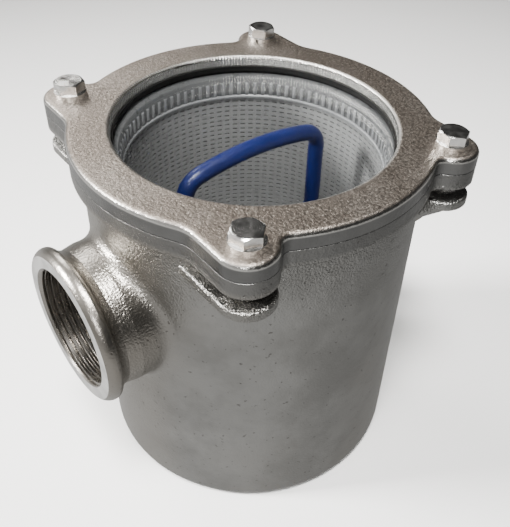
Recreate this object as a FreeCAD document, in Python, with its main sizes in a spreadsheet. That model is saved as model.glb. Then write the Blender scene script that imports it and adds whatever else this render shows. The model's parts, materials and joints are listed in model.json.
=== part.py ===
import FreeCAD, Part
import math, os
import Sketcher

# Sea water strainer: nickel plated cast body, bolted cover ring, flat clear window,
# perforated plastic basket with a coated rod handle. Millimetres, +Z up.
# Origin: centre of the flat base. The inlet port points along -X, the outlet along +X.

V = FreeCAD.Vector
doc = FreeCAD.newDocument("strainer")
sheet = doc.addObject("Spreadsheet::Sheet", "Dims")
sheet.Label = "Dims"


class Q:
    """A size with its number and the expression that binds it to the sheet."""

    def __init__(self, v, e):
        self.v = float(v)
        self.e = e

    def _w(self, o):
        return o if isinstance(o, Q) else Q(o, repr(float(o)))

    def __add__(self, o):
        o = self._w(o)
        return Q(self.v + o.v, "(%s + %s)" % (self.e, o.e))

    __radd__ = __add__

    def __sub__(self, o):
        o = self._w(o)
        return Q(self.v - o.v, "(%s - %s)" % (self.e, o.e))

    def __rsub__(self, o):
        return self._w(o) - self

    def __mul__(self, o):
        o = self._w(o)
        return Q(self.v * o.v, "(%s * %s)" % (self.e, o.e))

    __rmul__ = __mul__

    def __truediv__(self, o):
        o = self._w(o)
        return Q(self.v / o.v, "(%s / %s)" % (self.e, o.e))

    def __neg__(self):
        return Q(-self.v, "(0 - %s)" % self.e)


def q(x):
    return x if isinstance(x, Q) else Q(x, repr(float(x)))


def qcos(a):
    return Q(math.cos(math.radians(a.v)), "cos(%s * 1 deg)" % a.e)


def qsin(a):
    return Q(math.sin(math.radians(a.v)), "sin(%s * 1 deg)" % a.e)


_row = [0]


def size(name, value, note):
    _row[0] += 1
    r = _row[0]
    sheet.set("A%d" % r, name)
    sheet.set("B%d" % r, repr(float(value)))
    sheet.setAlias("B%d" % r, name)
    sheet.set("C%d" % r, note)
    return Q(value, "Dims.%s" % name)


# ---- sizes -------------------------------------------------------------
body_rad = size("body_rad", 64.0, "outer radius of the cup")
base_round = size("base_round", 4.2, "rounding of the base edge")
cup_wall = size("cup_wall", 4.5, "side wall of the cup")
cup_floor = size("cup_floor", 5.5, "floor of the cup")
flange_rad = size("flange_rad", 67.5, "outer radius of flange and cover ring")
flange_low = size("flange_low", 134.7, "underside of the flange")
joint_z = size("joint_z", 141.5, "face between flange and cover ring")
top_z = size("top_z", 148.0, "top of the cover ring")
bolt_rad = size("bolt_rad", 71.0, "radius of the bolt circle")
bolt_ang = size("bolt_ang", 50.0, "lug angle from the port axis, degrees")
lug_rad = size("lug_rad", 10.2, "end radius of a lug")
shelf_rad = size("shelf_rad", 9.9, "end radius of a nut shelf")
shelf_top = size("shelf_top", 128.8, "top of the nut shelves")
shelf_edge = size("shelf_edge", 3.3, "edge thickness of a nut shelf")
shelf_foot = size("shelf_foot", 113.5, "where the shelf gusset meets the cup")
slot_back = size("slot_back", 65.8, "distance of the nut stop flat from the axis")
seat_rad = size("seat_rad", 57.6, "radius of the window recess in the flange")
ledge_z = size("ledge_z", 134.5, "ledge that carries seal and basket rim")
throat_rad = size("throat_rad", 51.5, "opening inside the ledge")
throat_low = size("throat_low", 126.0, "lower end of the throat")
throat_cone = size("throat_cone", 118.0, "where the throat cone meets the cup bore")
port_z = size("port_z", 90.3, "height of the inlet axis")
out_z = size("out_z", 96.3, "height of the outlet axis")
port_face = size("port_face", 83.0, "distance of the port faces from the axis")
rim_face = size("rim_face", 28.0, "radius of the machined port face")
rim_rad = size("rim_rad", 30.0, "largest radius of the port rim")
neck_rad = size("neck_rad", 27.4, "radius of the port neck")
valley_rad = size("valley_rad", 26.6, "radius of the hollow behind the rim")
bore_rad = size("bore_rad", 22.42, "port bore, minor radius of G 1 1/2")
mouth_rad = size("mouth_rad", 23.4, "radius of the lead-in at the port mouth")
spout_rad = size("spout_rad", 26.2, "outer radius of the inlet spout inside the cup")
spout_end = size("spout_end", 51.5, "radius to which the spout is bored for the basket")
ring_bore = size("ring_bore", 52.2, "bore of the cover ring")
ring_rec_rad = size("ring_rec_rad", 58.2, "recess under the cover ring")
ring_rec = size("ring_rec", 2.0, "depth of that recess")
clear_hole = size("clear_hole", 3.3, "radius of the bolt clearance holes")
win_rad = size("win_rad", 57.0, "window radius")
win_thick = size("win_thick", 5.0, "window thickness")
seal_in = size("seal_in", 54.8, "inner radius of the body seal")
seal_out = size("seal_out", 57.3, "outer radius of the body seal")
gask_in = size("gask_in", 51.5, "inner radius of the window gasket")
gask_out = size("gask_out", 57.6, "outer radius of the window gasket")
bask_in = size("bask_in", 49.8, "inner radius of the basket wall")
bask_out = size("bask_out", 50.9, "outer radius of the basket wall")
bask_rim = size("bask_rim", 54.2, "outer radius of the basket rim")
bask_rim_t = size("bask_rim_t", 1.8, "thickness of the basket rim")
bask_low = size("bask_low", 12.0, "underside of the basket floor")
bask_floor = size("bask_floor", 2.0, "thickness of the basket floor")
bead_z = size("bead_z", 127.2, "height of the bead below the ribbed band")
bead_in = size("bead_in", 49.0, "inner radius of the bead")
bask_port = size("bask_port", 23.6, "radius of the basket's inlet opening")
rod_rad = size("rod_rad", 3.25, "radius of the coated handle rod")
rod_span = size("rod_span", 32.0, "distance of a handle leg from the axis")
rod_knee = size("rod_knee", 122.2, "height where the handle legs start to bend")
rod_bend = size("rod_bend", 8.0, "bend radius of the handle's centre line")
rod_lean = size("rod_lean", 12.5, "slope of the bowed bar at its ends, degrees")
rod_foot = size("rod_foot", 15.0, "lower end of the handle legs")
socket_rad = size("socket_rad", 5.2, "outer radius of the leg sockets")
socket_top = size("socket_top", 24.0, "upper end of the leg sockets")
m6_rad = size("m6_rad", 3.0, "bolt shank radius")
m6_len = size("m6_len", 20.0, "bolt length below the head")
head_af = size("head_af", 10.0, "width across flats")
head_h = size("head_h", 4.0, "bolt head height")
nut_h = size("nut_h", 5.0, "nut height")
wash_out = size("wash_out", 5.9, "outer radius of the lock washer")
wash_in = size("wash_in", 3.15, "inner radius of the lock washer")
wash_h = size("wash_h", 1.6, "lock washer thickness")
doc.recompute()

bx = bolt_rad * qcos(bolt_ang)
by = bolt_rad * qsin(bolt_ang)


# ---- helpers -----------------------------------------------------------
def new_body(name):
    b = doc.addObject("PartDesign::Body", name)
    b.Label = name
    return b


def origin_item(body, role):
    for o in body.Origin.OriginFeatures:
        if o.Role == role:
            return o
    raise RuntimeError(role)


def new_sketch(body, name, plane, du=0.0, dv=0.0, dw=0.0):
    """Sketch on an origin plane, shifted by (du, dv) in the plane and dw along its normal."""
    s = body.newObject("Sketcher::SketchObject", name)
    s.AttachmentSupport = [(origin_item(body, plane), "")]
    s.MapMode = "FlatFace"
    du, dv, dw = q(du), q(dv), q(dw)
    s.AttachmentOffset = FreeCAD.Placement(V(du.v, dv.v, dw.v), FreeCAD.Rotation())
    for axis, val in (("x", du), ("y", dv), ("z", dw)):
        if "Dims" in val.e:
            s.setExpression("AttachmentOffset.Base.%s" % axis, val.e)
    return s


def fix_point(s, geo, pos, x, y, level_only=False):
    for kind, val in ((("DistanceX", x), ("DistanceY", y)) if not level_only else (("DistanceY", y),)):
        i = s.addConstraint(Sketcher_Constraint(kind, -1, 1, geo, pos, val.v))
        if "Dims" in val.e:
            s.setExpression("Constraints[%d]" % i, val.e)


def Sketcher_Constraint(*a):
    return Sketcher.Constraint(*a)


def outline(s, pts, arcs=None, centre=None, closed=True):
    """Outline through pts; arcs = {i: (radius, +1 left turn / -1 right turn)} for segment i.
    centre = {i: (x, y)} gives the centre of a half circle whose ends lie level with it."""
    arcs, centre = arcs or {}, centre or {}
    pts = [(q(x), q(y)) for x, y in pts]
    n = len(pts)
    m = n if closed else n - 1
    level = set()
    for i in centre:
        level |= {i, (i + 1) % n}
    ends = []
    for i in range(m):
        (x0, y0), (x1, y1) = pts[i], pts[(i + 1) % n]
        a, b = V(x0.v, y0.v, 0), V(x1.v, y1.v, 0)
        if i in arcs:
            r, side = arcs[i]
            r = q(r)
            d = b - a
            half = d.Length / 2
            h = math.sqrt(max(r.v * r.v - half * half, 0.0))
            nrm = V(-d.y, d.x, 0).normalize()
            c = (a + b) * 0.5 + nrm * (h * side)
            if i in centre:
                c = V(q(centre[i][0]).v, q(centre[i][1]).v, 0)
            first, last = (a, b) if side > 0 else (b, a)
            t0 = math.atan2(first.y - c.y, first.x - c.x)
            t1 = math.atan2(last.y - c.y, last.x - c.x)
            g = s.addGeometry(Part.ArcOfCircle(Part.Circle(c, V(0, 0, 1), r.v), t0, t1), False)
            ends.append((g, 1, 2, r) if side > 0 else (g, 2, 1, r))
        else:
            g = s.addGeometry(Part.LineSegment(a, b), False)
            ends.append((g, 1, 2, None))
    for i in range(m):
        g, p0, p1, r = ends[i]
        if closed or i + 1 < m:
            g2, p2, _, _ = ends[(i + 1) % n]
            s.addConstraint(Sketcher_Constraint("Coincident", g, p1, g2, p2))
        else:
            fix_point(s, g, p1, pts[i + 1][0], pts[i + 1][1])
        fix_point(s, g, p0, pts[i][0], pts[i][1], level_only=i in level)
        if i in centre:
            fix_point(s, g, 3, q(centre[i][0]), q(centre[i][1]))
        if r is not None:
            k = s.addConstraint(Sketcher_Constraint("Radius", g, r.v))
            if "Dims" in r.e:
                s.setExpression("Constraints[%d]" % k, r.e)


def ring_of(s, x, y, r):
    x, y, r = q(x), q(y), q(r)
    g = s.addGeometry(Part.Circle(V(x.v, y.v, 0), V(0, 0, 1), r.v), False)
    fix_point(s, g, 3, x, y)
    k = s.addConstraint(Sketcher_Constraint("Radius", g, r.v))
    if "Dims" in r.e:
        s.setExpression("Constraints[%d]" % k, r.e)


def settle(body, feat, grows=None, before=None):
    doc.recompute()
    if not feat.isValid() or feat.Shape.isNull():
        raise RuntimeError("%s: %s" % (feat.Label, feat.State))
    if before is not None:
        v = body.Shape.Volume
        if grows and v <= before + 1e-6:
            raise RuntimeError("%s adds nothing" % feat.Label)
        if grows is False and v >= before - 1e-6:
            raise RuntimeError("%s removes nothing" % feat.Label)
    return feat


def vol(body):
    return body.Shape.Volume if body.Tip is not None else None


def revolve(body, s, name, axis="V_Axis", cut=False):
    v0 = vol(body)
    f = body.newObject("PartDesign::Groove" if cut else "PartDesign::Revolution", name)
    f.Profile = s
    f.ReferenceAxis = (s, [axis])
    f.Angle = 360.0
    s.Visibility = False
    return settle(body, f, (not cut) if v0 else None, v0)


def extrude(body, s, name, length, cut=False, reverse=False, symmetric=False):
    v0 = vol(body)
    f = body.newObject("PartDesign::Pocket" if cut else "PartDesign::Pad", name)
    f.Profile = s
    length = q(length)
    f.Type = "Length"
    f.Length = length.v
    if "Dims" in length.e:
        f.setExpression("Length", length.e)
    f.Reversed = reverse
    if symmetric:
        if hasattr(f, "SideType"):
            f.SideType = "Symmetric"
        else:
            f.Midplane = True
    s.Visibility = False
    return settle(body, f, (not cut) if v0 else None, v0)


def edges_where(shape, test):
    return ["Edge%d" % (i + 1) for i, e in enumerate(shape.Edges) if test(e)]


def round_edges(body, name, base, test, radius, chamfer=False, expect=None):
    names = edges_where(base.Shape, test)
    if not names or (expect and len(names) != expect):
        raise RuntimeError("%s picks %d edges" % (name, len(names)))
    f = body.newObject("PartDesign::Chamfer" if chamfer else "PartDesign::Fillet", name)
    f.Base = (base, names)
    radius = q(radius)
    prop = "Size" if chamfer else "Radius"
    setattr(f, prop, radius.v)
    if "Dims" in radius.e:
        f.setExpression(prop, radius.e)
    return settle(body, f)


def pts_on(e, k=7):
    a, b = e.ParameterRange
    return [e.valueAt(a + (b - a) * (i + 0.5) / k) for i in range(k)]


def all_z(e, z, tol=0.01):
    return all(abs(p.z - z) < tol for p in pts_on(e)) and all(abs(v.Point.z - z) < tol for v in e.Vertexes)


def hyp(p):
    return math.hypot(p.x, p.y)


SIGNS = ((-1, -1), (1, -1), (1, 1), (-1, 1))      # front, right, back, left


def lug_outlines(s, rad, inner):
    """Four U shaped lug outlines; the straight sides run parallel to Y."""
    for sx, sy in SIGNS:
        xa, xb = (bx + rad) * sx, (bx - rad) * sx
        outline(s, [(xa, q(inner) * sy), (xa, by * sy), (xb, by * sy), (xb, q(inner) * sy)],
                {1: (rad, 1 if sx * sy > 0 else -1)}, {1: (bx * sx, by * sy)})


# ---- body casting ------------------------------------------------------
body = new_body("body")
s = new_sketch(body, "cup_profile", "XZ_Plane")
outline(s, [(0, 0), (body_rad - base_round, 0), (body_rad, base_round),
            (body_rad, flange_low - 3.0), (body_rad + 3.0, flange_low), (flange_rad, flange_low),
            (flange_rad, joint_z), (0, joint_z)],
        {1: (base_round, 1), 3: (3.0, -1)})
cup = revolve(body, s, "cup")

s = new_sketch(body, "flange_lugs", "XY_Plane", dw=flange_low)
lug_outlines(s, lug_rad, 30.0)
lugs = extrude(body, s, "flange_lug_pad", joint_z - flange_low)

# fillets where the lugs leave the round flange: long on the port side, short on the other
xw = (bx + lug_rad).v
lugf = round_edges(body, "lug_fillet_wide", lugs,
                   lambda e: e.Length > 6.0 and all(abs(abs(p.x) - xw) < 0.05 and abs(hyp(p) - flange_rad.v) < 0.05 for p in pts_on(e)),
                   13.0, expect=4)


def on_lug_end(p, rad):
    return abs(math.hypot(abs(p.x) - bx.v, abs(p.y) - by.v) - rad) < 0.05


lugn = round_edges(body, "lug_fillet_narrow", lugf,
                   lambda e: e.Length > 6.0 and all(on_lug_end(p, lug_rad.v) and abs(hyp(p) - flange_rad.v) < 0.05 for p in pts_on(e)),
                   4.0, expect=4)

# nut shelves with gussets under them
s = new_sketch(body, "shelf_outline", "XY_Plane", dw=shelf_top)
lug_outlines(s, shelf_rad, 28.0)
shelf = extrude(body, s, "shelf_pad", shelf_edge, reverse=True)

for k, (sx, sy) in enumerate(SIGNS):
    lo = body.newObject("Sketcher::SketchObject", "gusset_top_%d" % (k + 1))
    lo.AttachmentSupport = [(origin_item(body, "XY_Plane"), "")]
    lo.MapMode = "FlatFace"
    lo.AttachmentOffset = FreeCAD.Placement(V(0, 0, (shelf_top - shelf_edge).v), FreeCAD.Rotation())
    lo.setExpression("AttachmentOffset.Base.z", (shelf_top - shelf_edge).e)
    r1 = shelf_rad - 1.2
    outline(lo, [((bx + r1) * sx, q(30.0) * sy), ((bx + r1) * sx, by * sy), ((bx - r1) * sx, by * sy), ((bx - r1) * sx, q(30.0) * sy)],
            {1: (r1, 1 if sx * sy > 0 else -1)}, {1: (bx * sx, by * sy)})
    hi = body.newObject("Sketcher::SketchObject", "gusset_foot_%d" % (k + 1))
    hi.AttachmentSupport = [(origin_item(body, "XY_Plane"), "")]
    hi.MapMode = "FlatFace"
    hi.AttachmentOffset = FreeCAD.Placement(V(0, 0, shelf_foot.v), FreeCAD.Rotation())
    hi.setExpression("AttachmentOffset.Base.z", shelf_foot.e)
    r2 = q(4.0)
    cx, cy = bx * 0.82, by * 0.82
    outline(hi, [((cx + r2) * sx, q(30.0) * sy), ((cx + r2) * sx, cy * sy), ((cx - r2) * sx, cy * sy), ((cx - r2) * sx, q(30.0) * sy)],
            {1: (r2, 1 if sx * sy > 0 else -1)}, {1: (cx * sx, cy * sy)})
    v0 = vol(body)
    g = body.newObject("PartDesign::AdditiveLoft", "gusset_%d" % (k + 1))
    g.Profile = lo
    g.Sections = [(hi, [""])]
    g.Ruled = True
    lo.Visibility = hi.Visibility = False
    settle(body, g, True, v0)

# flats that stop the nuts from turning
s = new_sketch(body, "nut_stop_outline", "XY_Plane", dw=shelf_top - 1.0)
for sx, sy in SIGNS:
    c, n = qcos(bolt_ang), qsin(bolt_ang)
    h = 9.0
    r0, r1 = q(56.0), slot_back

    def at(r, t):
        return ((r * c - n * t) * sx, (r * n + c * t) * sy)

    pts = [at(r0, -h), at(r1, -h), at(r1, h), at(r0, h)]
    outline(s, pts)
stops = extrude(body, s, "nut_stop_pad", flange_low - shelf_top + 2.0)

# port necks, turned about their own axes
for name, sx, zc in (("inlet", -1, port_z), ("outlet", 1, out_z)):
    s = new_sketch(body, name + "_neck_profile", "XZ_Plane", dv=zc)
    f = port_face
    outline(s, [(q(40.0) * sx, 0), (q(40.0) * sx, neck_rad), ((f - 14.0) * sx, neck_rad),
                ((f - 9.0) * sx, valley_rad), ((f - 5.2) * sx, rim_rad - 0.9), ((f - 3.6) * sx, rim_rad),
                (f * sx, rim_face), (f * sx, 0)],
            {3: (5.2, 1 if sx > 0 else -1), 4: (2.0, -1 if sx > 0 else 1), 5: (4.2, -1 if sx > 0 else 1)})
    neck = revolve(body, s, name + "_neck", axis="H_Axis")

tip = neck


def neck_root(e, sx, zc):
    return (not e.Curve.TypeId.endswith("GeomLine")) and all(
        p.x * sx > 45 and abs(math.hypot(p.y, p.z - zc) - neck_rad.v) < 0.05 and abs(hyp(p) - body_rad.v) < 0.05 for p in pts_on(e))


tip = round_edges(body, "inlet_root", tip, lambda e: neck_root(e, -1, port_z.v), 5.5)
tip = round_edges(body, "outlet_root", tip, lambda e: neck_root(e, 1, out_z.v), 4.5)

# inside of the cup
s = new_sketch(body, "cavity_profile", "XZ_Plane")
ci = body_rad - cup_wall
outline(s, [(0, cup_floor), (ci - 5.0, cup_floor), (ci, cup_floor + 5.0), (ci, throat_cone),
            (throat_rad, throat_low), (throat_rad, ledge_z), (seat_rad, ledge_z), (seat_rad, joint_z + 1.0), (0, joint_z + 1.0)],
        {1: (5.0, 1)})
cav = revolve(body, s, "cavity", cut=True)

# inlet spout that reaches the basket
s = new_sketch(body, "spout_outline", "YZ_Plane", dv=port_z, dw=-(body_rad - 2.0))
ring_of(s, 0, 0, spout_rad)
spout = extrude(body, s, "spout_pad", body_rad - 2.0 - 44.0)
s = new_sketch(body, "spout_end_profile", "XZ_Plane")
outline(s, [(0, port_z - 32.0), (spout_end, port_z - 32.0), (spout_end, port_z + 30.0), (0, port_z + 30.0)])
spout_cut = revolve(body, s, "spout_end_cut", cut=True)

# port bores with their lead-in
for name, sx, zc, inner in (("inlet", -1, port_z, 40.0), ("outlet", 1, out_z, 50.0)):
    s = new_sketch(body, name + "_bore_profile", "XZ_Plane", dv=zc)
    f = port_face
    outline(s, [(q(inner) * sx, 0), (q(inner) * sx, bore_rad), ((f - (mouth_rad - bore_rad)) * sx, bore_rad),
                (f * sx, mouth_rad), ((f + 1.0) * sx, mouth_rad), ((f + 1.0) * sx, 0)])
    bore = revolve(body, s, name + "_bore", axis="H_Axis", cut=True)

# bolt holes in the flange lugs
s = new_sketch(body, "bolt_holes", "XY_Plane", dw=flange_low - 1.0)
for sx, sy in SIGNS:
    ring_of(s, bx * sx, by * sy, clear_hole)
holes = extrude(body, s, "bolt_hole_cut", joint_z - flange_low + 2.0, cut=True, reverse=True)
tip = round_edges(body, "lug_edge_round", holes,
                  lambda e: all_z(e, flange_low.v) and all(hyp(p) > flange_rad.v + 0.2 and math.hypot(abs(p.x) - bx.v, abs(p.y) - by.v) > 8 for p in pts_on(e)),
                  0.6)
tip = round_edges(body, "shelf_edge_round", tip,
                  lambda e: all_z(e, shelf_top.v) and all(hyp(p) > flange_rad.v - 1.0 and math.hypot(abs(p.x) - bx.v, abs(p.y) - by.v) > 9 for p in pts_on(e)),
                  0.9)
body.Tip = tip

# ---- cover ring ---------------------------------------------------------
ring = new_body("cover_ring")
s = new_sketch(ring, "ring_profile", "XZ_Plane")
outline(s, [(ring_bore, joint_z + ring_rec), (ring_rec_rad, joint_z + ring_rec), (ring_rec_rad, joint_z), (flange_rad, joint_z),
            (flange_rad, top_z), (ring_bore, top_z)])
revolve(ring, s, "ring_turned")
s = new_sketch(ring, "ring_lugs", "XY_Plane", dw=joint_z)
for sx, sy in SIGNS:
    xa, xb = (bx + lug_rad) * sx, (bx - lug_rad) * sx
    yi = q(51.0)
    # the outline starts inside the turned ring, clear of its recess
    outline(s, [(xa, q(31.0) * sy), (xa, by * sy), (xb, by * sy), (xb, yi * sy)], {1: (lug_rad, 1 if sx * sy > 0 else -1)}, {1: (bx * sx, by * sy)})
rl = extrude(ring, s, "ring_lug_pad", top_z - joint_z)
rf = round_edges(ring, "ring_fillet_wide", rl,
                 lambda e: e.Length > 6.0 and all(abs(abs(p.x) - xw) < 0.05 and abs(hyp(p) - flange_rad.v) < 0.05 for p in pts_on(e)),
                 13.0, expect=4)
rf = round_edges(ring, "ring_fillet_narrow", rf,
                 lambda e: e.Length > 6.0 and all(on_lug_end(p, lug_rad.v) and abs(hyp(p) - flange_rad.v) < 0.05 for p in pts_on(e)),
                 4.0, expect=4)
rf = round_edges(ring, "ring_top_round", rf,
                 lambda e: all_z(e, top_z.v) and all(hyp(p) > flange_rad.v - 0.6 for p in pts_on(e)), 1.9)
rf = round_edges(ring, "ring_bore_round", rf,
                 lambda e: all_z(e, top_z.v) and all(abs(hyp(p) - ring_bore.v) < 0.05 for p in pts_on(e)), 1.5)
s = new_sketch(ring, "ring_holes", "XY_Plane", dw=joint_z - 1.0)
for sx, sy in SIGNS:
    ring_of(s, bx * sx, by * sy, clear_hole)
rh = extrude(ring, s, "ring_hole_cut", top_z - joint_z + 2.0, cut=True, reverse=True)
ring.Tip = rh


# ---- flat turned pieces -------------------------------------------------
def turned(name, pts, arcs=None):
    b = new_body(name)
    sk = new_sketch(b, name + "_profile", "XZ_Plane")
    outline(sk, pts, arcs)
    revolve(b, sk, name + "_turned")
    return b


win_low = joint_z - win_thick
window = turned("sight_window", [(0, win_low), (win_rad - 0.5, win_low), (win_rad, win_low + 0.5), (win_rad, joint_z - 0.5), (win_rad - 0.5, joint_z), (0, joint_z)])
gasket = turned("window_gasket", [(gask_in, joint_z), (gask_out, joint_z), (gask_out, joint_z + ring_rec), (gask_in, joint_z + ring_rec)])
seal = turned("body_seal", [(seal_in, ledge_z), (seal_out, ledge_z), (seal_out, win_low), (seal_in, win_low)])

# ---- basket -------------------------------------------------------------
basket = new_body("basket")
s = new_sketch(basket, "basket_profile", "XZ_Plane")
rim_top = ledge_z + bask_rim_t
outline(s, [(0, bask_low), (bask_out - 2.0, bask_low), (bask_out, bask_low + 2.0), (bask_out, ledge_z), (bask_rim, ledge_z),
            (bask_rim, rim_top), (bask_in, rim_top), (bask_in, bead_z + 1.0), (bead_in, bead_z + 0.3), (bead_in, bead_z - 0.3),
            (bask_in, bead_z - 1.0), (bask_in, bask_low + bask_floor), (0, bask_low + bask_floor)],
        {1: (2.0, 1)})
bw = revolve(basket, s, "basket_wall")
# leg sockets on the floor
s = new_sketch(basket, "socket_outline", "XY_Plane", dw=bask_low + bask_floor - 0.5)
for sx in (-1, 1):
    ring_of(s, rod_span * sx, 0, socket_rad)
sk1 = extrude(basket, s, "socket_pad", socket_top - bask_low - bask_floor + 0.5)
s = new_sketch(basket, "socket_holes", "XY_Plane", dw=rod_foot)
for sx in (-1, 1):
    ring_of(s, rod_span * sx, 0, rod_rad)
sk2 = extrude(basket, s, "socket_cut", socket_top - rod_foot + 1.0, cut=True, reverse=True)
# inlet opening
s = new_sketch(basket, "inlet_opening", "YZ_Plane", dv=port_z, dw=-(bask_out + 2.0))
ring_of(s, 0, 0, bask_port)
io = extrude(basket, s, "inlet_opening_cut", 30.0, cut=True, reverse=True)


def window_rows(name, rows, halfw):
    sk = new_sketch(basket, name, "YZ_Plane", dw=40.0)
    for z0, z1 in rows:
        outline(sk, [(-halfw, z0), (halfw, z0), (halfw, z1), (-halfw, z1)])
    return extrude(basket, sk, name + "_cut", 15.0, cut=True, reverse=True)


def polar(name, feat, angle, count, reverse=False):
    v0 = vol(basket)
    p = basket.newObject("PartDesign::PolarPattern", name)
    p.Originals = [feat]
    p.Axis = (origin_item(basket, "Z_Axis"), [""])
    p.Angle = angle
    p.Occurrences = count
    p.Reversed = reverse
    basket.Tip = p
    return settle(basket, p, False, v0)


low_rows = [(18.0 + 8.0 * i, 24.6 + 8.0 * i) for i in range(5)]
high_rows = [(60.0 + 8.0 * i, 66.6 + 8.0 * i) for i in range(8)]
w1 = window_rows("low_windows", low_rows, 6.6)
polar("low_windows_round", w1, 360.0, 18)
w2 = window_rows("high_windows", high_rows, 6.6)
polar("high_windows_left", w2, 140.0, 8)
polar("high_windows_right", w2, 140.0, 8, True)
# floor openings, left out where the sockets stand
s = new_sketch(basket, "floor_openings", "XY_Plane", dw=bask_low - 1.0)
for r, n in ((11.0, 6), (22.0, 12), (33.0, 18), (43.0, 24)):
    for i in range(n):
        a = 2 * math.pi * (i + 0.5) / n
        x, y = r * math.cos(a), r * math.sin(a)
        if math.hypot(abs(x) - rod_span.v, y) > socket_rad.v + 4.6:
            ring_of(s, x, y, 3.4)
fo = extrude(basket, s, "floor_opening_cut", bask_floor + 2.0, cut=True, reverse=True)
basket.Tip = fo

# ---- handle -------------------------------------------------------------
handle = new_body("basket_handle")
path = new_sketch(handle, "handle_path", "XZ_Plane")
bar_x = rod_span - rod_bend + rod_bend * qsin(rod_lean)
bar_z = rod_knee + rod_bend * qcos(rod_lean)
bow = (rod_span - rod_bend) / qsin(rod_lean) + rod_bend
outline(path, [(-rod_span, rod_foot), (-rod_span, rod_knee), (-bar_x, bar_z), (bar_x, bar_z), (rod_span, rod_knee), (rod_span, rod_foot)],
        {1: (rod_bend, -1), 2: (bow, -1), 3: (rod_bend, -1)}, closed=False)
prof = new_sketch(handle, "handle_section", "XY_Plane", dw=rod_foot)
ring_of(prof, -rod_span, 0, rod_rad - 0.05)
pipe = handle.newObject("PartDesign::AdditivePipe", "handle_rod")
pipe.Profile = prof
pipe.Spine = (path, [])
path.Visibility = prof.Visibility = False
settle(handle, pipe)


# ---- fasteners ----------------------------------------------------------
def hexagon(s, af):
    c = q(af) / math.sqrt(3.0)
    outline(s, [(c * math.cos(math.radians(60 * i)), c * math.sin(math.radians(60 * i))) for i in range(6)])


def place(b, sx, sy, z, turn):
    """Stand a fastener on the bolt circle at height z, turned about its own axis."""
    b.Placement = FreeCAD.Placement(V(bx.v * sx, by.v * sy, z.v), FreeCAD.Rotation(V(0, 0, 1), turn))
    b.setExpression("Placement.Base.x", (bx * sx).e)
    b.setExpression("Placement.Base.y", (by * sy).e)
    b.setExpression("Placement.Base.z", z.e)


def corner_cut(b, name, af, z_face, z_dir):
    """Bevel the corners of a hexagon at one end (30 degrees)."""
    sk = new_sketch(b, name + "_profile", "XZ_Plane")
    r0 = q(af) * 0.475
    r1 = q(af) * 0.62
    drop = (r1 - r0) * 0.577
    outline(sk, [(r0, z_face), (r1, z_face), (r1, z_face - drop * z_dir)])
    return revolve(b, sk, name, cut=True)


bolts, washers, nuts = [], [], []
bolt_turn = (42.4, 24.8, 8.3, 28.0)
wash_turn = (-40.0, -40.0, 130.0, -40.0)         # the gap lies 90 degrees further round
for k, (sx, sy) in enumerate(SIGNS):
    b = new_body("cover_bolt_%d" % (k + 1))
    sk = new_sketch(b, "head_outline_%d" % (k + 1), "XY_Plane")
    hexagon(sk, head_af)
    extrude(b, sk, "head_%d" % (k + 1), head_h)
    corner_cut(b, "head_bevel_%d" % (k + 1), head_af, head_h, 1)
    sk = new_sketch(b, "shank_profile_%d" % (k + 1), "XZ_Plane")
    outline(sk, [(0, 0.5), (0, -m6_len), (m6_rad - 0.7, -m6_len), (m6_rad, -m6_len + 0.7), (m6_rad, 0.5)])
    revolve(b, sk, "shank_%d" % (k + 1))
    place(b, sx, sy, top_z + wash_h, bolt_turn[k])
    bolts.append(b)

    w = new_body("lock_washer_%d" % (k + 1))
    sk = new_sketch(w, "washer_outline_%d" % (k + 1), "XY_Plane")
    ring_of(sk, 0, 0, wash_out)
    ring_of(sk, 0, 0, wash_in)
    extrude(w, sk, "washer_%d" % (k + 1), wash_h)
    # the split runs at a slant through the section
    sk = new_sketch(w, "washer_gap_%d" % (k + 1), "XZ_Plane")
    outline(sk, [(0.0, -0.6), (0.9, -0.6), (1.6, wash_h + 0.6), (0.7, wash_h + 0.6)])
    extrude(w, sk, "washer_gap_cut_%d" % (k + 1), 8.0, cut=True)
    place(w, sx, sy, top_z, wash_turn[k])
    washers.append(w)

    nb = new_body("cover_nut_%d" % (k + 1))
    sk = new_sketch(nb, "nut_outline_%d" % (k + 1), "XY_Plane")
    hexagon(sk, head_af)
    ring_of(sk, 0, 0, m6_rad)
    extrude(nb, sk, "nut_%d" % (k + 1), nut_h)
    corner_cut(nb, "nut_bevel_low_%d" % (k + 1), head_af, q(0.0), -1)
    corner_cut(nb, "nut_bevel_high_%d" % (k + 1), head_af, nut_h, 1)
    ang = math.degrees(math.atan2(by.v * sy, bx.v * sx))
    place(nb, sx, sy, flange_low - nut_h, ang + 30.0)
    nuts.append(nb)

doc.recompute()

# ---- checks and export --------------------------------------------------
nodes = [body, ring, window, gasket, seal, basket, handle] + bolts + washers + nuts
for o in doc.Objects:
    bad = [x for x in o.State if x in ("Invalid", "Error")]
    if bad:
        raise RuntimeError("%s is %s" % (o.Label, bad))
os.makedirs("parts", exist_ok=True)
for o in nodes:
    sh = o.Shape
    if sh.isNull() or not sh.isValid() or len(sh.Solids) != 1:
        raise RuntimeError("%s: null or invalid, solids %d" % (o.Label, len(sh.Solids)))
    sh.exportStep("parts/%s.step" % o.Label)
    bb = sh.BoundBox
    print("%-18s vol %10.1f  x %7.2f %7.2f  y %7.2f %7.2f  z %7.2f %7.2f" % (o.Label, sh.Volume, bb.XMin, bb.XMax, bb.YMin, bb.YMax, bb.ZMin, bb.ZMax))
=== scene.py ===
import json
import math

import bmesh
import bpy
import numpy as np
from mathutils import Matrix, Vector

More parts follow.
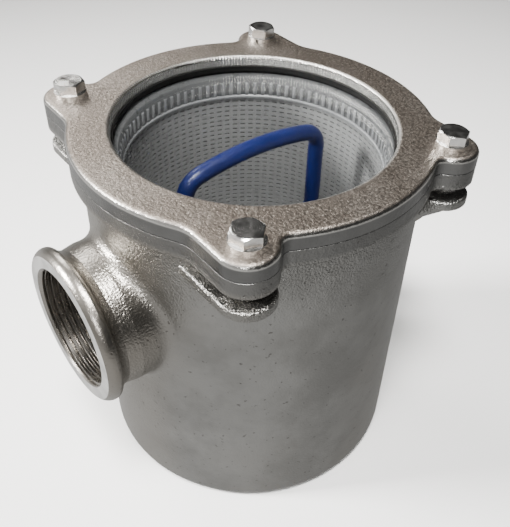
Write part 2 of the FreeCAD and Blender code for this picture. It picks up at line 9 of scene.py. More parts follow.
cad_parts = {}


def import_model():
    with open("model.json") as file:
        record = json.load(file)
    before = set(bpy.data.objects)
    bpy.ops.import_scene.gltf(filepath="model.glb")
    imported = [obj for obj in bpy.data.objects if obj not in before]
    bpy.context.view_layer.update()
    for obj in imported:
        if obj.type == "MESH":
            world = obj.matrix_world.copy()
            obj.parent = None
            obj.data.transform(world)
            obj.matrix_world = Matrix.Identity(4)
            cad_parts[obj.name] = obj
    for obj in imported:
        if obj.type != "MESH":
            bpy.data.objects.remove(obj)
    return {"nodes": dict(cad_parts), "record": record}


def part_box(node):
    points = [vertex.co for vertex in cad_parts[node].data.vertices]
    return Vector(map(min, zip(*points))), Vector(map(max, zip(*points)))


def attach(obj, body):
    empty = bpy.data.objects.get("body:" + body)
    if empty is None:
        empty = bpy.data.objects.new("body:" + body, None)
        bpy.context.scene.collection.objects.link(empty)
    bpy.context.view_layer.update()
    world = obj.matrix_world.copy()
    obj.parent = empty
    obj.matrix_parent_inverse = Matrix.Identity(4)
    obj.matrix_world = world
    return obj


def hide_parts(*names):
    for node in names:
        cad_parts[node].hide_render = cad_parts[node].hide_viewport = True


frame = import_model()


def write_size():
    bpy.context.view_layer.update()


write_size()

MM = 0.001
MOUNTS = {m["name"]: m for m in frame["record"]["mounts"]}
Z_IN = MOUNTS["inlet"]["pos_m"][2] / MM
Z_OUT = MOUNTS["outlet"]["pos_m"][2] / MM
BORE = MOUNTS["inlet"]["dims"]["r_mm"]


def box_mm(node):
    lo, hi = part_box(node)
    return [v / MM for v in lo], [v / MM for v in hi]


# ---- mesh helpers ---------------------------------------------------------
def new_object(name, verts, faces, body="root", smooth=40.0):
    """verts in millimetres in the row frame."""
    me = bpy.data.meshes.new(name)
    co = np.asarray(verts, float) * MM
    me.from_pydata([tuple(v) for v in co], [], [tuple(f) for f in faces])
    me.validate()
    me.update()
    ob = bpy.data.objects.new(name, me)
    bpy.context.scene.collection.objects.link(ob)
    if smooth is not None:
        soften(me, smooth)
    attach(ob, body)
    return ob


def soften(me, angle):
    me.polygons.foreach_set("use_smooth", [True] * len(me.polygons))
    me.set_sharp_from_angle(angle=math.radians(angle))
    me.update()


def lathe(points, seg, closed=True, a0=0.0):
    """Revolve (r, z) points about Z. Returns verts, faces."""
    n = len(points)
    verts, faces = [], []
    for i in range(seg):
        a = a0 + 2 * math.pi * i / seg
        c, s = math.cos(a), math.sin(a)
        for r, z in points:
            verts.append((r * c, r * s, z))
    m = n if closed else n - 1
    for i in range(seg):
        j = (i + 1) % seg
        for k in range(m):
            l = (k + 1) % n
            faces.append((i * n + k, j * n + k, j * n + l, i * n + l))
    return verts, faces


def join(parts):
    verts, faces = [], []
    for v, f in parts:
        o = len(verts)
        verts += list(v)
        faces += [tuple(i + o for i in q) for q in f]
    return verts, faces


# ---- node helpers ---------------------------------------------------------
class Tree:
    def __init__(self, name):
        self.mat = bpy.data.materials.new(name)
        self.mat.use_nodes = True
        self.nt = self.mat.node_tree
        self.nt.nodes.clear()
        self.out = self.node("ShaderNodeOutputMaterial")
        self.bsdf = self.node("ShaderNodeBsdfPrincipled")
        self.link(self.bsdf.outputs[0], self.out.inputs["Surface"])
        self.co = self.node("ShaderNodeTexCoord").outputs["Object"]
        sep = self.node("ShaderNodeSeparateXYZ")
        self.link(self.co, sep.inputs[0])
        self.x, self.y, self.z = sep.outputs

    def node(self, kind, **props):
        n = self.nt.nodes.new(kind)
        for k, v in props.items():
            setattr(n, k, v)
        return n

    def link(self, a, b):
        self.nt.links.new(a, b)

    def feed(self, sock, v):
        if isinstance(v, bpy.types.NodeSocket):
            self.link(v, sock)
        elif v is not None:
            sock.default_value = v

    def math(self, op, a, b=None, c=None, clamp=False):
        n = self.node("ShaderNodeMath", operation=op, use_clamp=clamp)
        for s, v in zip(n.inputs, (a, b, c)):
            self.feed(s, v)
        return n.outputs[0]

    def ramp(self, v, a, b, lo=0.0, hi=1.0, smooth=True):
        n = self.node("ShaderNodeMapRange", interpolation_type="SMOOTHSTEP" if smooth else "LINEAR")
        for s, w in zip(n.inputs, (v, a, b, lo, hi)):
            self.feed(s, w)
        return n.outputs[0]

    def noise(self, scale, detail=2.0, rough=0.5, co=None, dist=0.0):
        n = self.node("ShaderNodeTexNoise")
        self.link(co or self.co, n.inputs["Vector"])
        n.inputs["Scale"].default_value = scale
        n.inputs["Detail"].default_value = detail
        n.inputs["Roughness"].default_value = rough
        n.inputs["Distortion"].default_value = dist
        return n.outputs[0]

    def stretch(self, sx, sy, sz, loc=(0, 0, 0)):
        n = self.node("ShaderNodeMapping")
        self.link(self.co, n.inputs["Vector"])
        n.inputs["Scale"].default_value = (sx, sy, sz)
        n.inputs["Location"].default_value = loc
        return n.outputs[0]

    def mix(self, f, a, b):
        n = self.node("ShaderNodeMix", data_type="RGBA")
        self.feed(n.inputs["Factor"], f)
        self.feed(n.inputs[6], a if not isinstance(a, tuple) else a + (1.0,))
        self.feed(n.inputs[7], b if not isinstance(b, tuple) else b + (1.0,))
        return n.outputs[2]

    def mixf(self, f, a, b):
        n = self.node("ShaderNodeMix", data_type="FLOAT")
        self.feed(n.inputs["Factor"], f)
        self.feed(n.inputs[2], a)
        self.feed(n.inputs[3], b)
        return n.outputs[0]

    def bump(self, height, dist, strength=1.0):
        n = self.node("ShaderNodeBump")
        n.inputs["Strength"].default_value = strength
        n.inputs["Distance"].default_value = dist
        self.link(height, n.inputs["Height"])
        self.link(n.outputs[0], self.bsdf.inputs["Normal"])

    def set(self, **kw):
        for k, v in kw.items():
            sock = self.bsdf.inputs[k.replace("_", " ")]
            if isinstance(v, tuple) and len(v) == 3:
                v = v + (1.0,)
            self.feed(sock, v)


def put(ob, mat):
    ob.data.materials.clear()
    ob.data.materials.append(mat)


# ---- materials --------------------------------------------------------------
def cast_metal():
    """Nickel plated casting: satin and finely pitted on the cup, orange peel on the necks and under the flange."""
    t = Tree("cast_nickel")
    ax = t.math("ABSOLUTE", t.x)
    neck = t.ramp(ax, 0.056, 0.066)
    rim = t.ramp(ax, 0.0765, 0.0800)
    high = t.ramp(t.z, 0.098, 0.132)
    side = t.ramp(t.z, 0.1352, 0.1375)
    fine = t.noise(1500, 2.0)
    peel = t.noise(1250, 1.5, 0.5)
    lump = t.noise(170, 2.0)
    blot = t.noise(34, 4.0, 0.62)
    wide = t.noise(13, 2.0)
    pit = t.ramp(t.noise(640, 1.0, 0.5), 0.32, 0.22)
    # height field
    peel_w = t.mixf(neck, t.mixf(high, 0.30, 1.70), t.mixf(rim, 0.62, 0.22))
    peel_w = t.mixf(side, peel_w, 0.62)
    h = t.math("MULTIPLY", peel, peel_w)
    h = t.math("MULTIPLY_ADD", fine, 0.09, h)
    h = t.math("MULTIPLY_ADD", lump, t.mixf(neck, t.mixf(high, 0.60, 1.8), 0.02), h)
    h = t.math("MULTIPLY_ADD", pit, -0.22, h)
    # The open seam between flange and cover: a groove in the bump, and painted shade in the colour.
    joint_groove_shade = t.math("SUBTRACT", 1.0, t.ramp(t.math("ABSOLUTE", t.math("SUBTRACT", t.z, 0.1415)), 0.00008, 0.00026))
    h = t.math("MULTIPLY_ADD", joint_groove_shade, -0.6, h)
    t.bump(h, 0.00036, 1.0)
    col = t.mix(t.ramp(blot, 0.35, 0.68), (0.224, 0.222, 0.213), (0.300, 0.298, 0.289))
    col = t.mix(t.ramp(wide, 0.40, 0.70, 0.0, 0.40), col, (0.248, 0.230, 0.204))
    col = t.mix(t.math("MULTIPLY", neck, 0.7), col, (0.272, 0.252, 0.224))
    # Painted shade: the flange sides, above z 137.5 mm, are painted darker than the cup.
    col = t.mix(t.math("MULTIPLY", side, 0.8), col, (0.150, 0.150, 0.147))
    col = t.mix(t.math("MULTIPLY", pit, 0.5), col, (0.05, 0.04, 0.035))
    # Painted shade: the open seam between flange and cover is darkened near black.
    col = t.mix(t.math("MULTIPLY", joint_groove_shade, 0.75), col, (0.02, 0.02, 0.02))
    # The nut slots get painted shade, a near-black colour, and stay dull in roughness.
    far = t.math("SQRT", t.math("ADD", t.math("MULTIPLY", t.x, t.x), t.math("MULTIPLY", t.y, t.y)))
    slot_shade = t.math("MULTIPLY", t.ramp(t.z, 0.1294, 0.1299), t.math("SUBTRACT", 1.0, t.ramp(t.z, 0.1349, 0.1353)))
    slot_shade = t.math("MULTIPLY", slot_shade, t.ramp(far, 0.0648, 0.0662))
    col = t.mix(t.math("MULTIPLY", slot_shade, 0.85), col, (0.022, 0.021, 0.020))
    t.set(Base_Color=col, Metallic=1.0)
    r = t.ramp(blot, 0.3, 0.7, 0.34, 0.44, smooth=False)
    t.set(Roughness=t.mixf(slot_shade, t.mixf(neck, r, 0.30), 0.55))
    return t.mat


def inner_metal():
    """Inside of the cup: duller, as cast."""
    t = Tree("cast_inside")
    peel = t.noise(380, 3.0, 0.6)
    blot = t.noise(45, 3.0)
    t.bump(peel, 0.00012, 0.8)
    t.set(Base_Color=t.mix(t.ramp(blot, 0.3, 0.7), (0.13, 0.125, 0.12), (0.19, 0.185, 0.175)), Metallic=1.0, Roughness=0.5)
    return t.mat


def faced_metal():
    """Machined port face: fine turned rings round each port axis."""
    t = Tree("faced_nickel")
    zc = t.ramp(t.x, -0.01, 0.01, Z_IN * MM, Z_OUT * MM, smooth=False)
    dz = t.math("SUBTRACT", t.z, zc)
    rr = t.math("SQRT", t.math("ADD", t.math("MULTIPLY", t.y, t.y), t.math("MULTIPLY", dz, dz)))
    wav = t.math("SINE", t.math("MULTIPLY", rr, 2 * math.pi / 0.0006))
    n = t.noise(900, 2.0)
    blot = t.noise(150, 3.0, 0.6)
    h = t.math("MULTIPLY_ADD", n, 0.6, t.math("MULTIPLY", wav, 0.5))
    t.bump(h, 0.00003, 0.8)
    t.set(Base_Color=t.mix(t.ramp(blot, 0.3, 0.7), (0.66, 0.656, 0.642), (0.80, 0.796, 0.780)), Metallic=1.0, Roughness=t.ramp(blot, 0.3, 0.7, 0.34, 0.46))
    return t.mat


def thread_metal():
    t = Tree("threaded_nickel")
    n = t.noise(700, 3.0, 0.6)
    blot = t.noise(120, 3.0)
    t.bump(n, 0.000006, 0.6)
    t.set(Base_Color=t.mix(t.ramp(blot, 0.3, 0.7), (0.27, 0.255, 0.235), (0.33, 0.312, 0.286)), Metallic=1.0, Roughness=t.ramp(blot, 0.3, 0.7, 0.24, 0.28))
    return t.mat


def ring_metal():
    """Cover ring: grainy and warm on top; smoother on its rounded edges, whose brighter colour is partly polish and
    partly a painted highlight; its sides are painted darker as shade.
    """
    t = Tree("ring_nickel")
    top = t.ramp(t.z, 0.1470, 0.1479)
    r2 = t.math("SQRT", t.math("ADD", t.math("MULTIPLY", t.x, t.x), t.math("MULTIPLY", t.y, t.y)))
    grain = t.noise(1150, 3.0, 0.65)
    coarse = t.noise(520, 2.0, 0.5)
    blot = t.noise(30, 3.0, 0.6)
    lump = t.noise(110, 2.0)
    speck = t.ramp(t.noise(1000, 2.0, 0.6), 0.54, 0.68)
    dark = t.ramp(t.noise(820, 2.0, 0.6, co=t.stretch(1, 1, 1, (3.0, 1.0, 2.0))), 0.46, 0.32)
    bore = t.math("SUBTRACT", 1.0, t.ramp(r2, 0.0525, 0.0541))
    wob = t.math("SINE", t.math("MULTIPLY", t.math("ARCTAN2", t.y, t.x), 260.0))
    h = t.math("MULTIPLY", grain, t.mixf(top, 0.34, 0.70))
    h = t.math("MULTIPLY_ADD", coarse, t.mixf(top, 0.34, 0.55), h)
    h = t.math("MULTIPLY_ADD", lump, 0.5, h)
    h = t.math("MULTIPLY_ADD", t.math("MULTIPLY", wob, bore), 0.16, h)
    # Open seam at the foot of the ring: a groove in the bump, and painted shade in the colour below.
    joint_groove_shade = t.math("SUBTRACT", 1.0, t.ramp(t.math("ABSOLUTE", t.math("SUBTRACT", t.z, 0.1415)), 0.00008, 0.00026))
    h = t.math("MULTIPLY_ADD", joint_groove_shade, -0.6, h)
    t.bump(h, 0.00032, 1.0)
    warm = t.mix(t.ramp(blot, 0.35, 0.7), (0.215, 0.186, 0.160), (0.290, 0.258, 0.228))
    warm = t.mix(t.math("MULTIPLY", speck, 0.55), warm, (0.52, 0.48, 0.42))
    warm = t.mix(t.math("MULTIPLY", dark, 0.45), warm, (0.12, 0.095, 0.08))
    # Painted shade: the ring's sides and underside get a darker colour than its top.
    side = t.mix(t.ramp(blot, 0.35, 0.7), (0.132, 0.132, 0.130), (0.196, 0.196, 0.192))
    # Painted highlight, partly polish: the rounded edges at the top and the bore's bevel get a bright colour.
    polished_edge_highlight = t.math("SUBTRACT", t.ramp(t.z, 0.1458, 0.1466), top)
    side = t.mix(t.math("MAXIMUM", polished_edge_highlight, bore), side, (0.60, 0.59, 0.565))
    col = t.mix(t.math("MULTIPLY", top, t.math("SUBTRACT", 1.0, t.math("MULTIPLY", bore, 0.7))), side, warm)
    # Painted shade: the seam at the ring's foot is darkened near black.
    col = t.mix(t.math("MULTIPLY", joint_groove_shade, 0.75), col, (0.03, 0.03, 0.03))
    t.set(Base_Color=col, Metallic=1.0)
    t.set(Roughness=t.mixf(top, t.mixf(polished_edge_highlight, 0.27, 0.20), t.ramp(grain, 0.35, 0.65, 0.36, 0.50)))
    return t.mat


def steel(centre, k):
    """Bright stainless with faint turned marks about the screw's own axis."""
    t = Tree("screw_steel_%d" % k)
    dx = t.math("SUBTRACT", t.x, centre[0])
    dy = t.math("SUBTRACT", t.y, centre[1])
    rr = t.math("SQRT", t.math("ADD", t.math("MULTIPLY", dx, dx), t.math("MULTIPLY", dy, dy)))
    wav = t.math("SINE", t.math("MULTIPLY", rr, 2 * math.pi / 0.0007))
    n = t.noise(700, 3.0)
    blot = t.noise(260, 2.0)
    t.bump(t.math("MULTIPLY_ADD", wav, 0.25, n), 0.00005, 0.8)
    t.set(Base_Color=t.mix(t.ramp(blot, 0.35, 0.65), (0.68, 0.672, 0.655), (0.84, 0.833, 0.815)), Metallic=1.0, Roughness=t.ramp(blot, 0.3, 0.7, 0.16, 0.26))
    return t.mat


def rubber():
    t = Tree("black_rubber")
    t.bump(t.noise(1400, 2.0), 0.00004, 0.6)
    t.set(Base_Color=t.mix(t.noise(90, 2.0), (0.003, 0.003, 0.003), (0.006, 0.006, 0.006)), Roughness=0.70)
    t.bsdf.inputs["Specular IOR Level"].default_value = 0.10
    return t.mat


def white_plastic():
    """Milky plastic with painted light and shade: lighter where it is thick, on the ribs and the bead; the slim wall
    is painted grey as shade, standing in for the dark metal showing through, and darkest on the slotted mesh.
    """
    t = Tree("basket_plastic")
    n = t.noise(300, 2.0)
    b = t.noise(28, 2.0)
    r2 = t.math("SQRT", t.math("ADD", t.math("MULTIPLY", t.x, t.x), t.math("MULTIPLY", t.y, t.y)))
    thick = t.math("SUBTRACT", 1.0, t.ramp(r2, 0.04930, 0.04975))
    rim = t.ramp(t.z, 0.1334, 0.1342)
    mesh = t.math("SUBTRACT", 1.0, t.ramp(t.z, 0.1258, 0.1266))
    lit = t.math("MAXIMUM", thick, t.math("MULTIPLY", rim, 0.04))
    # Painted shade: the slim wall is darker, darkest on the slotted mesh.
    shaded_slim_wall = t.mix(mesh, (0.082, 0.082, 0.084), (0.215, 0.213, 0.213))
    # Painted light: the lighter colour of the thick ribs and bead.
    lit_thick_wall = t.mix(t.ramp(b, 0.3, 0.7), (0.170, 0.170, 0.175), (0.212, 0.212, 0.219))
    t.bump(n, 0.00003, 0.5)
    t.set(Base_Color=t.mix(lit, shaded_slim_wall, lit_thick_wall), Roughness=t.ramp(n, 0.3, 0.7, 0.26, 0.38))
    t.set(IOR=1.49)
    return t.mat


def blue_coating():
    t = Tree("handle_coating")
    n = t.noise(260, 3.0)
    b = t.noise(60, 2.0)
    t.bump(n, 0.00006, 0.5)
    t.set(Base_Color=t.mix(t.ramp(b, 0.3, 0.7), (0.002, 0.006, 0.052), (0.003, 0.008, 0.070)), Roughness=t.ramp(n, 0.3, 0.7, 0.30, 0.42))
    t.set(IOR=1.5)
    t.bsdf.inputs["Specular IOR Level"].default_value = 0.32
    return t.mat


def clear_window():
    """Clear sheet that bends what is seen through it and lets the lamps through."""
    t = Tree("clear_window")
    g = t.node("ShaderNodeBsdfGlass")
    g.inputs["IOR"].default_value = 1.49
    g.inputs["Color"].default_value = (0.955, 0.965, 0.965, 1.0)
    g.inputs["Roughness"].default_value = 0.0
    tr = t.node("ShaderNodeBsdfTransparent")
    tr.inputs["Color"].default_value = (0.93, 0.94, 0.94, 1.0)
    lp = t.node("ShaderNodeLightPath")
    mx = t.node("ShaderNodeMixShader")
    f = t.math("MAXIMUM", lp.outputs["Is Shadow Ray"], lp.outputs["Is Diffuse Ray"])
    t.link(f, mx.inputs[0])
    t.link(g.outputs[0], mx.inputs[1])
    t.link(tr.outputs[0], mx.inputs[2])
    t.link(mx.outputs[0], t.out.inputs["Surface"])
    t.nt.nodes.remove(t.bsdf)
    return t.mat


M_CAST, M_IN, M_FACE, M_THREAD = cast_metal(), inner_metal(), faced_metal(), thread_metal()
M_RING, M_RUBBER, M_WHITE, M_BLUE, M_CLEAR = ring_metal(), rubber(), white_plastic(), blue_coating(), clear_window()


# ---- body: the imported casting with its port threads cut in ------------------
FACE_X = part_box("body")[1][0] / MM
PITCH, DEPTH = 2.309, 1.10
LINER_IN = 57.0


def thread_liner(sx, zc, r_wall):
    """The wall of a port: plain from the cup's inside, then a spiral grid whose lines follow the crests and roots."""
    seg = 120
    prof = ((0.00, 0.0), (0.22, 0.0), (0.25, 0.06), (0.45, 0.93), (0.50, 1.0), (0.55, 0.93), (0.75, 0.06), (0.78, 0.0))
    n = len(prof)
    x0, x1 = LINER_IN, FACE_X
    turns = int((x1 - x0) / PITCH) + 3
    rows = []
    for i in range(seg + 1):
        ang = 2 * math.pi * i / seg
        col = []
        for k in range(-1, turns):
            for u, d in prof:
                x = x0 + (k + u - 1.0 + i / seg) * PITCH
                col.append((x, d))
        col.append((x0 + (turns - 1.0 + i / seg) * PITCH, 0.0))
        rows.append(col)
    verts, faces = [], []
    m = len(rows[0]) + 1
    lead = x1 - 0.98
    for i in range(seg + 1):
        ang = 2 * math.pi * i / seg
        c, s = math.cos(ang), math.sin(ang) * sx
        verts.append((sx * math.sqrt(r_wall ** 2 - (BORE * c) ** 2), BORE * c, zc + BORE * s))
        for x, d in rows[i]:
            xc = min(max(x, x0), x1)
            fade = min(1.0, max(0.0, (xc - x0 - 0.4) / 2.5)) * min(1.0, max(0.0, (x1 - 0.15 - xc) / 0.9))
            r = BORE + DEPTH * d * fade
            if xc > lead:
                r = max(r, BORE + (xc - lead))
            verts.append((sx * xc, r * c, zc + r * s))
    for i in range(seg):
        for j in range(m - 1):
            a, b = i * m + j, i * m + j + 1
            e, f = (i + 1) * m + j + 1, (i + 1) * m + j
            xs = [abs(verts[q][0]) for q in (a, b, e, f)]
            if max(xs) - min(xs) < 1e-4 and (min(xs) >= x1 - 1e-4 or max(xs) <= x0 + 1e-4):
                continue
            faces.append((a, b, e, f))
    return verts, faces


def cast_body():
    """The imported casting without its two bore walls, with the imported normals."""
    src = frame["nodes"]["body"].data
    nv, nl, nf = len(src.vertices), len(src.loops), len(src.polygons)
    co = np.empty(nv * 3)
    src.vertices.foreach_get("co", co)
    co = co.reshape(-1, 3)
    vi = np.empty(nl, int)
    src.loops.foreach_get("vertex_index", vi)
    tri = vi.reshape(-1, 3)
    cn = np.empty(nl * 3)
    src.corner_normals.foreach_get("vector", cn)
    cn = cn.reshape(-1, 3, 3)
    p = co[tri] / MM
    c = p.mean(1)
    n = np.cross(p[:, 1] - p[:, 0], p[:, 2] - p[:, 0])
    n /= np.linalg.norm(n, axis=1)[:, None] + 1e-12
    rp = np.hypot(c[:, 1], c[:, 2] - np.where(c[:, 0] < 0, Z_IN, Z_OUT))
    bore = (np.abs(c[:, 0]) > 44) & (rp < 23.6) & (np.abs(n[:, 0]) < 0.9)
    bore &= np.all(np.hypot(p[:, :, 1], p[:, :, 2] - np.where(c[:, 0] < 0, Z_IN, Z_OUT)[:, None]) < 23.6, axis=1)
    keep = ~bore
    rad = np.hypot(c[:, 0], c[:, 1])
    out = n[:, 0] * c[:, 0] + n[:, 1] * c[:, 1]
    slot_no = np.zeros(len(tri), int)
    slot_no[(c[:, 2] > 5.0) & (c[:, 2] < 141.4) & ((rad < 57.0) | ((rad < 60.0) & (out < -0.2 * rad)))] = 1
    slot_no[(np.abs(c[:, 0]) > FACE_X - 0.3) & (np.abs(n[:, 0]) > 0.9) & (rp < 29)] = 2
    tri, cn, slot_no = tri[keep], cn[keep], slot_no[keep]
    me = bpy.data.meshes.new("casting")
    me.from_pydata([tuple(v) for v in co], [], [tuple(int(i) for i in f) for f in tri])
    for m in (M_CAST, M_IN, M_FACE):
        me.materials.append(m)
    me.polygons.foreach_set("material_index", slot_no.astype(np.int32))
    me.polygons.foreach_set("use_smooth", np.ones(len(tri), bool))
    me.update()
    me.normals_split_custom_set([tuple(v) for v in cn.reshape(-1, 3)])
    ob = bpy.data.objects.new("casting", me)
    bpy.context.scene.collection.objects.link(ob)
    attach(ob, "root")
    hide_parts("body")
    print("casting faces", len(tri), "bore faces left out", int(bore.sum()))
    return ob


def port_threads():
    parts = [thread_liner(-1, Z_IN, 51.5), thread_liner(1, Z_OUT, 59.5)]
    verts, faces = join(parts)
    good = []
    for q in faces:
        if len({tuple(round(w, 4) for w in verts[i]) for i in q}) >= 3:
            good.append(q)
    ob = new_object("port_threads", verts, good, "root", smooth=None)
    bm = bmesh.new()
    bm.from_mesh(ob.data)
    bmesh.ops.remove_doubles(bm, verts=bm.verts, dist=2e-6)
    bmesh.ops.delete(bm, geom=[w for w in bm.verts if not w.link_faces], context="VERTS")
    bm.to_mesh(ob.data)
    bm.free()
    soften(ob.data, 28)
    put(ob, M_THREAD)
    print("thread faces", len(ob.data.polygons))
    return ob


casting = cast_body()
threads = port_threads()

# ---- basket -----------------------------------------------------------------
lo, hi = box_mm("basket")
B_LOW, B_TOP, B_RIM = lo[2], hi[2], hi[0]
R_OUT, R_IN = 50.9, 49.8
BEAD = 127.2
COLS = 90


def slotted_wall():
    z0, pitch, rows = 18.05, 2.25, 48
    z1 = z0 + pitch * rows
    da = 2 * math.pi / COLS
    hw = 1.06 / 50.35
    hh = 0.30
    al = []
    for c in range(COLS):
        a = (c + 0.5) * da
        al += [a - da / 2, a - hw, a + hw]
    zl = [z0]
    for r in range(rows):
        m = z0 + (r + 0.5) * pitch
        zl += [m - hh, m + hh]
    zl.append(z1)
    na, nz = len(al), len(zl)
    verts = []
    for rad in (R_OUT, R_IN):
        for a in al:
            c, s = math.cos(a), math.sin(a)
            for z in zl:
                verts.append((rad * c, rad * s, z))
    off = na * nz

    def vid(layer, i, j):
        return layer * off + (i % na) * nz + j

    faces = []
    for i in range(na):
        col, ia = divmod(i, 3)
        ac = (col + 0.5) * da
        for j in range(nz - 1):
            zc = (zl[j] + zl[j + 1]) / 2
            yy, xx = R_OUT * math.sin(ac), R_OUT * math.cos(ac)
            if xx < 0 and math.hypot(yy, zc - Z_IN) < 25.2:
                continue
            if ia == 1 and j % 2 == 1:
                a, b, c, d = (i, j), (i + 1, j), (i + 1, j + 1), (i, j + 1)
                for p, q in ((a, b), (b, c), (c, d), (d, a)):
                    faces.append((vid(0, *p), vid(1, *p), vid(1, *q), vid(0, *q)))
                continue
            faces.append((vid(0, i, j), vid(0, i + 1, j), vid(0, i + 1, j + 1), vid(0, i, j + 1)))
            faces.append((vid(1, i, j), vid(1, i, j + 1), vid(1, i + 1, j + 1), vid(1, i + 1, j)))
    return (verts, faces), z1


def band(z_low):
    pts = [(R_OUT, z_low), (R_OUT, 133.9), (51.5, 134.5), (B_RIM - 0.3, 134.5), (B_RIM, 134.8), (B_RIM, B_TOP - 0.4),
           (B_RIM - 0.4, B_TOP), (50.9, B_TOP), (50.2, B_TOP - 0.35), (R_IN, B_TOP - 1.1), (R_IN, BEAD + 1.0),
           (R_IN - 0.25, BEAD + 0.75), (R_IN - 0.72, BEAD + 0.45), (49.0, BEAD), (R_IN - 0.72, BEAD - 0.45), (R_IN - 0.25, BEAD - 0.75),
           (R_IN, BEAD - 1.0), (R_IN, z_low)]
    return lathe(pts, 180)


def ribs():
    verts, faces = [], []
    prof = ((-0.92, -0.05), (-0.72, 0.42), (-0.3, 0.66), (0.3, 0.66), (0.72, 0.42), (0.92, -0.05))
    levels = ((127.9, -0.15), (128.4, 0.75), (129.0, 1.0), (132.9, 1.0), (133.5, 0.75), (133.9, -0.15))
    n = len(prof)
    for k in range(COLS):
        a = 2 * math.pi * k / COLS
        c, s = math.cos(a), math.sin(a)
        o = len(verts)
        for z, f in levels:
            for t, h in prof:
                r = R_IN - (h * f if h > 0 else h)
                verts.append((r * c - t * s, r * s + t * c, z))
        for i in range(len(levels) - 1):
            for j in range(n - 1):
                faces.append((o + i * n + j, o + i * n + j + 1, o + (i + 1) * n + j + 1, o + (i + 1) * n + j))
    return verts, faces


def collar():
    """Flanged edge of the basket's inlet opening, bent to the wall."""
    verts, faces = [], []
    seg = 96
    pts = ((23.6, 49.5), (23.6, 51.1), (27.6, 51.1), (27.6, 49.5))
    for i in range(seg):
        t = 2 * math.pi * i / seg
        for rc, rw in pts:
            y, z = rc * math.cos(t), Z_IN + rc * math.sin(t)
            verts.append((-math.sqrt(rw * rw - y * y), y, z))
    for i in range(seg):
        j = (i + 1) % seg
        for k in range(4):
            l = (k + 1) % 4
            faces.append((i * 4 + k, j * 4 + k, j * 4 + l, i * 4 + l))
    return verts, faces


def floor_grid():
    parts = []
    z0, z1 = B_LOW, B_LOW + 2.0
    pitch, hole = 3.4, 1.0
    m = int(48 / pitch) + 1
    verts, faces = [], []
    ids = {}

    def vid(x, y, z):
        k = (round(x, 3), round(y, 3), z)
        if k not in ids:
            ids[k] = len(verts)
            verts.append(k)
        return ids[k]

    for i in range(-m, m + 1):
        for j in range(-m, m + 1):
            cx, cy = i * pitch, j * pitch
            if math.hypot(cx, cy) > 47.2:
                continue
            xs = (cx - pitch / 2, cx - hole, cx + hole, cx + pitch / 2)
            ys = (cy - pitch / 2, cy - hole, cy + hole, cy + pitch / 2)
            solid = math.hypot(abs(cx) - 32.0, cy) < 6.6 or math.hypot(cx, cy) > 45.0
            for a in range(3):
                for b in range(3):
                    if a == 1 and b == 1 and not solid:
                        q = [(xs[1], ys[1]), (xs[2], ys[1]), (xs[2], ys[2]), (xs[1], ys[2])]
                        for k in range(4):
                            p, r = q[k], q[(k + 1) % 4]
                            faces.append((vid(p[0], p[1], z0), vid(p[0], p[1], z1), vid(r[0], r[1], z1), vid(r[0], r[1], z0)))
                        continue
                    q = [(xs[a], ys[b]), (xs[a + 1], ys[b]), (xs[a + 1], ys[b + 1]), (xs[a], ys[b + 1])]
                    faces.append(tuple(vid(x, y, z1) for x, y in q))
                    faces.append(tuple(vid(x, y, z0) for x, y in reversed(q)))
    parts.append((verts, faces))
    parts.append(lathe([(44.4, z0 - 0.1), (48.7, z0 - 0.1), (50.0, z0 + 0.4), (R_OUT, z0 + 1.8), (R_OUT, 18.05), (R_IN, 18.05), (R_IN, z1 + 1.3), (49.0, z1 + 0.5), (48.0, z1 + 0.15), (44.4, z1 + 0.15)], 180))
    return parts


def sockets():
    parts = []
    for sx in (-1, 1):
        v, f = lathe([(3.25, B_LOW + 1.0), (5.6, B_LOW + 1.0), (5.5, B_LOW + 2.6), (5.15, B_LOW + 3.4), (5.0, 23.4), (4.6, 24.0), (3.6, 24.0), (3.25, 23.6)], 48)
        parts.append(([(x + 32.0 * sx, y, z) for x, y, z in v], f))
        for k in range(4):
            a = math.radians(45 + 90 * k)
            c, s = math.cos(a), math.sin(a)
            q = []
            for t in (-0.6, 0.6):
                for r, z in ((4.6, B_LOW + 1.5), (9.2, B_LOW + 1.5), (4.6, 21.5)):
                    q.append((32.0 * sx + r * c - t * s, r * s + t * c, z))
            parts.append((q, [(0, 1, 2), (5, 4, 3), (0, 3, 4, 1), (1, 4, 5, 2), (2, 5, 3, 0)]))
    return parts


wall, wall_top = slotted_wall()
v, f = join([wall, band(wall_top), ribs(), collar()] + floor_grid() + sockets())
basket = new_object("strainer_basket", v, f, "root", smooth=35)
put(basket, M_WHITE)
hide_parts("basket")
print("basket faces", len(basket.data.polygons))

# ---- the CAD pieces that show as they are ---------------------------------
nodes = frame["nodes"]
put(nodes["cover_ring"], M_RING)
put(nodes["sight_window"], M_CLEAR)
put(nodes["window_gasket"], M_RUBBER)
put(nodes["body_seal"], M_RUBBER)
put(nodes["basket_handle"], M_BLUE)
for k in range(1, 5):
    b0, b1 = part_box("cover_bolt_%d" % k)
    m = steel(((b0[0] + b1[0]) / 2, (b0[1] + b1[1]) / 2), k)
    for nm in ("cover_bolt_%d", "lock_washer_%d", "cover_nut_%d"):
        put(nodes[nm % k], m)


# ---- floor, light, camera ---------------------------------------------------
def floor():
    me = bpy.data.meshes.new("floor")
    s = 4.0
    z = -0.0002
    me.from_pydata([(-s, -s, z), (s, -s, z), (s, s, z), (-s, s, z)], [], [(0, 1, 2, 3)])
    ob = bpy.data.objects.new("floor", me)
    bpy.context.scene.collection.objects.link(ob)
    t = Tree("pale_floor")
    t.set(Base_Color=(0.93, 0.93, 0.925), Roughness=0.65)
    put(ob, t.mat)
    ob.visible_glossy = False


floor()


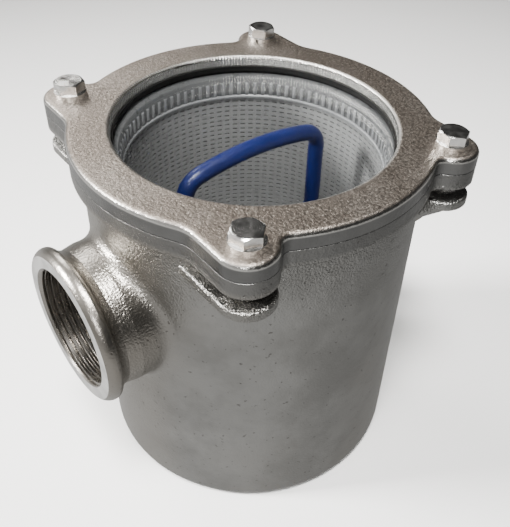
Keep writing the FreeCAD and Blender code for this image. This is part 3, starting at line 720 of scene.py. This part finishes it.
def area(name, pos, aim, size, power, colour=(1, 1, 1), size_y=None, spread=180):
    li = bpy.data.lights.new(name, "AREA")
    li.shape = "RECTANGLE"
    li.size, li.size_y = size, size_y or size
    li.energy, li.color = power, colour
    li.spread = math.radians(spread)
    ob = bpy.data.objects.new(name, li)
    ob.location = pos
    d = Vector(aim) - Vector(pos)
    ob.rotation_euler = d.to_track_quat("-Z", "Y").to_euler()
    bpy.context.scene.collection.objects.link(ob)
    return ob


area("key", (-1.15, 0.78, 0.80), (0, 0, 0.09), 0.34, 6.6, (1.0, 0.985, 0.96), spread=50)
area("overhead", (-0.26, -0.24, 1.10), (0, 0, 0.1), 0.26, 3.2, (1.0, 0.985, 0.96), spread=60)
area("front", (-0.95, -0.95, 0.80), (0, 0, 0.06), 0.30, 1.0, (1.0, 0.99, 0.975), spread=60)
area("back", (0.05, 1.00, 0.95), (0, 0, 0.12), 0.50, 1.3, (1.0, 0.975, 0.94), spread=60)


def world():
    """A soft tent: dim above so the window stays clear, a paler sweep below that fades to the right."""
    w = bpy.context.scene.world or bpy.data.worlds.new("World")
    bpy.context.scene.world = w
    w.use_nodes = True
    nt = w.node_tree
    bg = nt.nodes.get("Background")
    tc = nt.nodes.new("ShaderNodeTexCoord")

    def along(direction):
        dot = nt.nodes.new("ShaderNodeVectorMath")
        dot.operation = "DOT_PRODUCT"
        dot.inputs[1].default_value = Vector(direction).normalized()
        nt.links.new(tc.outputs["Generated"], dot.inputs[0])
        return dot.outputs["Value"]

    def sweep(value, *ends):
        mr = nt.nodes.new("ShaderNodeMapRange")
        mr.interpolation_type = "SMOOTHSTEP"
        for s, v in zip(mr.inputs[1:], ends):
            s.default_value = v
        nt.links.new(value, mr.inputs[0])
        return mr.outputs[0]

    above = sweep(along((-0.80, 0.25, 0.30)), -0.10, 0.90, 0.035, 0.50)
    below = sweep(along((-0.85, 0.10, 0.0)), -0.80, 0.42, 0.46, 0.98)
    side = sweep(along((0, 0, -1)), 0.02, 0.35, 0.0, 1.0)
    mx = nt.nodes.new("ShaderNodeMix")
    nt.links.new(side, mx.inputs[0])
    nt.links.new(above, mx.inputs[2])
    nt.links.new(below, mx.inputs[3])
    nt.links.new(mx.outputs[0], bg.inputs[1])
    bg.inputs[0].default_value = (0.97, 0.96, 0.94, 1.0)


world()


def camera():
    cam = bpy.data.cameras.new("camera")
    ob = bpy.data.objects.new("camera", cam)
    bpy.context.scene.collection.objects.link(ob)
    right = Vector((0.7636, -0.6438, 0.0496)).normalized()
    fwd = Vector((0.5227, 0.5711, -0.6329)).normalized()
    right = (right - fwd * right.dot(fwd)).normalized()
    up = right.cross(fwd)
    m = Matrix((right, up, -fwd)).transposed().to_4x4()
    m.translation = Vector((-138.9, -173.4, 275.4)) * MM
    ob.matrix_world = m
    cam.sensor_fit = "HORIZONTAL"
    cam.sensor_width = 36.0
    cam.lens = 689.96 / 510.0 * 36.0
    cam.shift_x = (255.0 - 288.29) / 510.0
    cam.shift_y = (234.40 - 263.5) / 510.0
    cam.clip_start, cam.clip_end = 0.01, 50.0
    bpy.context.scene.camera = ob


camera()

write_size()
